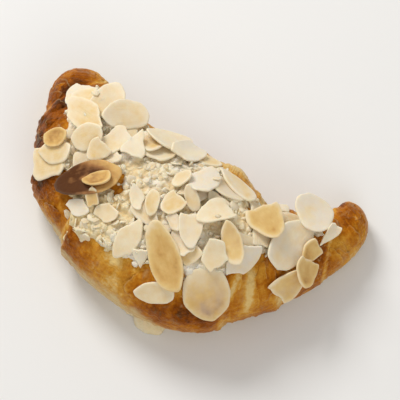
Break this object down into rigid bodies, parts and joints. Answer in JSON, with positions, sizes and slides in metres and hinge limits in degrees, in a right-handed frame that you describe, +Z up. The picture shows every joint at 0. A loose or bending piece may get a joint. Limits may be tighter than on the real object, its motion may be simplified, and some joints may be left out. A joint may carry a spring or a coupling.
{
  "type": "almond croissant",
  "caption": "Baked croissant: a fat bent roll of flaky dough with stepped wraps and a flat underside, its top covered with almond cream and sliced almonds.",
  "frame": {"origin": "under the middle of the croissant, on the surface that it rests on", "axes": "+X from the left tip to the right tip, -Y towards the outer side of the bend, +Z up"},
  "size_m": [0.134, 0.0823, 0.0493],
  "materials": {
    "crust": "baked dough, golden to deep brown, faint egg-wash gloss",
    "almond": "ivory sliced almond with toasted faces and pale rims, satin",
    "cream": "crumbly baked almond cream dusted with sugar, matte"
  },
  "bodies": {
    "root": {"croissant": "crust"}
  },
  "joints": []
}
